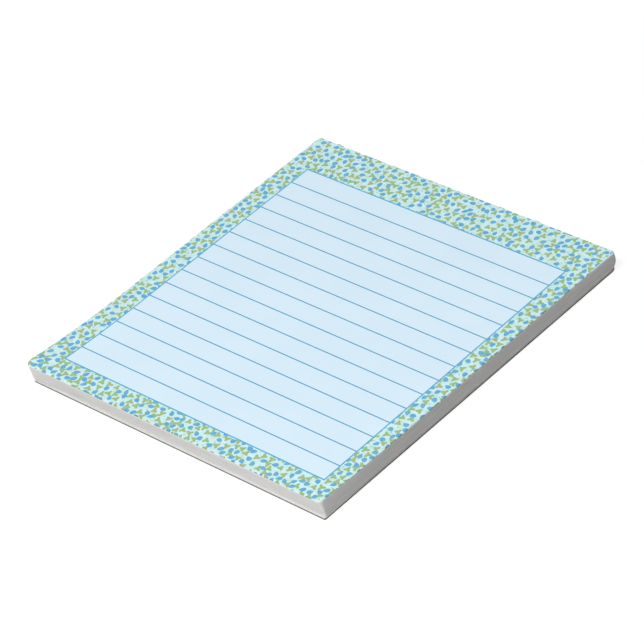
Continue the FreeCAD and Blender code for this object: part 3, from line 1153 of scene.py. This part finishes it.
def add_stem(bm, x, y, heading, chance):
    """A thin curved stroke that starts under a motif and runs out past it."""
    length = chance.uniform(*STEM_LENGTHS)
    bend = chance.uniform(-STEM_BEND, STEM_BEND)
    left_side = []
    right_side = []
    for share in STEM_STEPS:
        middle = bend * share * share
        half = STEM_WIDTH / 2 * (1 - STEM_TAPER * share)
        ends = [(length * share, middle + half), (length * share, middle - half)]
        left, right = ring_of(bm, placed(ends, x, y, heading), 0)
        left_side.append(left)
        right_side.append(right)
    add_quads(bm, right_side, left_side)


def strewn_border():
    """The drops, sprigs, buds and stems as four prints."""
    chance = random.Random(BORDER_SEED)
    drops, sprigs, buds = border_places(chance)
    drop_print = bmesh.new()
    for x, y, turn, layer in layered(drops):
        add_polygon(drop_print, placed(drop_outline(chance), x, y, turn), layer)
    sprig_print = bmesh.new()
    for x, y, turn, layer in layered(sprigs):
        add_polygon(sprig_print, placed(sprig_outline(chance), x, y, turn), layer)
    bud_print = bmesh.new()
    for x, y, turn in buds:
        half = chance.uniform(*BUD_HALF_LENGTHS)
        oval = [
            (half * math.cos(angle), BUD_WIDTH_SHARE * half * math.sin(angle))
            for angle in steps(0, TURN, BUD_POINTS)
        ]
        add_polygon(bud_print, placed(oval, x, y, turn))
    stem_print = bmesh.new()
    for x, y, turn in drops:
        add_stem(stem_print, x, y, turn - math.pi / 2, chance)
    for x, y, turn in sprigs:
        add_stem(stem_print, x, y, turn + math.pi, chance)

    for bm in (drop_print, sprig_print, bud_print, stem_print):
        trim_to_sheet(bm)
    print_piece("stem_print", stem_print, STEM_LIFT, stem_ink, "green_ink")
    print_piece("bud_print", bud_print, BUD_LIFT, bud_ink, "blue_ink")
    print_piece("sprig_print", sprig_print, SPRIG_LIFT, sprig_ink, "green_ink", "border_sprigs")
    print_piece("drop_print", drop_print, DROP_LIFT, drop_ink, "blue_ink", "border_drops")


strewn_border()


# Floor, light and camera

# How much light the floor gives back to the pad, and its own colour and glow where it is seen
FLOOR_BOUNCE = 0.2
FLOOR_SHADOW = 0.15
FLOOR_GLOW = 0.88
FLOOR_SIZE = 8.0


def stage_material():
    """A white floor that keeps a soft shadow, and gives little light back to the pad."""
    shader = Shader("studio_floor", roughness=1.0, specular=0.0)
    rays = shader.node("ShaderNodeLightPath").outputs
    seen = shader.math("MAXIMUM", rays["Is Camera Ray"], rays["Is Glossy Ray"])
    seen = shader.math("MAXIMUM", seen, rays["Is Transmission Ray"])
    bounce = (*shade(WHITE, FLOOR_BOUNCE), 1)
    shadow = (*shade(WHITE, FLOOR_SHADOW), 1)
    shader.colour(shader.blend(seen, bounce, shadow))
    glow = shader.math("MULTIPLY", seen, FLOOR_GLOW)
    shader.principled.inputs["Emission Color"].default_value = (*WHITE, 1)
    shader.link(glow, shader.principled.inputs["Emission Strength"])
    return shader.material


def add_floor():
    """The floor under the pad, which isn't a piece of it."""
    bm = bmesh.new()
    half = FLOOR_SIZE / 2
    corners = ((-half, -half), (half, -half), (half, half), (-half, half))
    bm.faces.new([bm.verts.new((x, y, 0)) for x, y in corners])
    mesh = bpy.data.meshes.new("studio_floor")
    bm.to_mesh(mesh)
    bm.free()
    mesh.materials.append(stage_material())
    floor = bpy.data.objects.new("studio_floor", mesh)
    bpy.context.scene.collection.objects.link(floor)


WORLD_LIGHT = 0.2


def set_world():
    """A white surround that is seen as white, but lights the pad only a little."""
    world = bpy.data.worlds.new("studio")
    bpy.context.scene.world = world
    world.use_nodes = True
    tree = world.node_tree
    background = tree.nodes["Background"]
    background.inputs["Color"].default_value = (*WHITE, 1)
    rays = tree.nodes.new("ShaderNodeLightPath")
    strength = tree.nodes.new("ShaderNodeMix")
    strength.inputs[2].default_value = WORLD_LIGHT
    strength.inputs[3].default_value = 1.0
    tree.links.new(rays.outputs["Is Camera Ray"], strength.inputs[0])
    tree.links.new(strength.outputs[0], background.inputs["Strength"])


def add_lamp(name, direction, distance, level, size):
    """A square soft lamp that gives a white face turned to it this share of full white."""
    place = Vector(direction).normalized() * distance
    data = bpy.data.lights.new(name, "AREA")
    data.size = size
    data.energy = level * math.pi ** 2 * distance ** 2
    lamp = bpy.data.objects.new(name, data)
    lamp.location = place
    lamp.rotation_euler = place.to_track_quat("Z", "Y").to_euler()
    lamp.visible_camera = False
    bpy.context.scene.collection.objects.link(lamp)


KEY_LEVEL = 0.845
FILL_LEVEL = 0.175

# The camera was fitted to the photograph: where it stands, in millimetres above the top
# leaf's middle, the length of its lens on a 36 mm wide image, and its three axes
CAMERA_PLACE = (746.6, -626.52, 741.31)
CAMERA_LENS = 197.41
CAMERA_RIGHT = (0.72901, 0.66199, -0.17412)
CAMERA_DOWN = (0.31398, -0.54944, -0.7743)
CAMERA_FORWARD = (-0.60824, 0.5098, -0.6084)
SENSOR_WIDTH = 36.0
CLIP_START = 0.05


def add_camera():
    """The camera as fitted, with the pad's millimetres made metres."""
    data = bpy.data.cameras.new("photo_view")
    data.lens = CAMERA_LENS
    data.sensor_width = SENSOR_WIDTH
    data.clip_start = CLIP_START
    camera = bpy.data.objects.new("photo_view", data)
    right = Vector(CAMERA_RIGHT)
    up = -Vector(CAMERA_DOWN)
    back = -Vector(CAMERA_FORWARD)
    turn = Matrix((right, up, back)).transposed()
    place = (Vector(CAMERA_PLACE) + Vector((0, 0, pages_top))) * MM
    camera.matrix_world = Matrix.Translation(place) @ turn.to_4x4()
    bpy.context.scene.collection.objects.link(camera)
    bpy.context.scene.camera = camera


add_floor()
set_world()
add_lamp("key_lamp", (-0.05, -0.417, 0.72), distance=3.0, level=KEY_LEVEL, size=1.0)
add_lamp("fill_lamp", (0.8, -0.4, 0.45), distance=1.0, level=FILL_LEVEL, size=0.4)
add_camera()
bpy.context.scene.view_settings.view_transform = "Standard"
